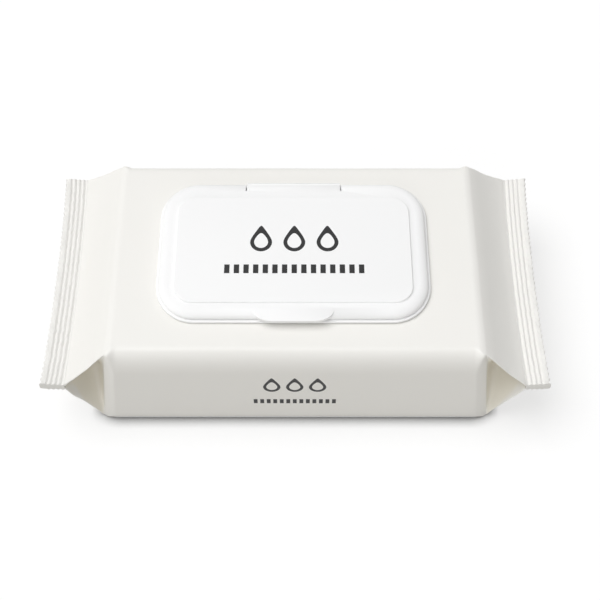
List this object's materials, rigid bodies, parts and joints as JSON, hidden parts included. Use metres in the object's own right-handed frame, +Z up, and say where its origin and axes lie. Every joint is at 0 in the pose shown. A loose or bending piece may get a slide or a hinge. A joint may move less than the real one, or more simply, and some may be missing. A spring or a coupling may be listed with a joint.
{
  "type": "wet wipes pack",
  "caption": "Soft flow-wrapped pack of wet wipes with tucked ends, ribbed end seals and a hinged flip lid over its dispensing opening.",
  "frame": {"origin": "centre of the pack's box, on the flat underside that it lies on", "axes": "+X along the pack from end seal to end seal, +Y towards the lid's hinge, +Z up out of the lid"},
  "size_m": [0.2102, 0.108, 0.0531],
  "materials": {
    "printed_film": "soft satin printed laminate film, warm white",
    "wet_nonwoven": "damp white nonwoven cloth",
    "white_polypropylene": "moulded white polypropylene, fine satin"
  },
  "bodies": {
    "pack": {"film_wrapper": "printed_film", "wipes_stack": "wet_nonwoven", "lid_frame": "white_polypropylene"},
    "lid": {"flip_lid": "white_polypropylene"}
  },
  "joints": [
    {"name": "lid_hinge", "type": "hinge", "parent": "pack", "child": "lid", "pos_m": [-0.0008, 0.036, 0.0501], "axis": [-1, 0, 0], "range_deg": [0, 120]}
  ]
}
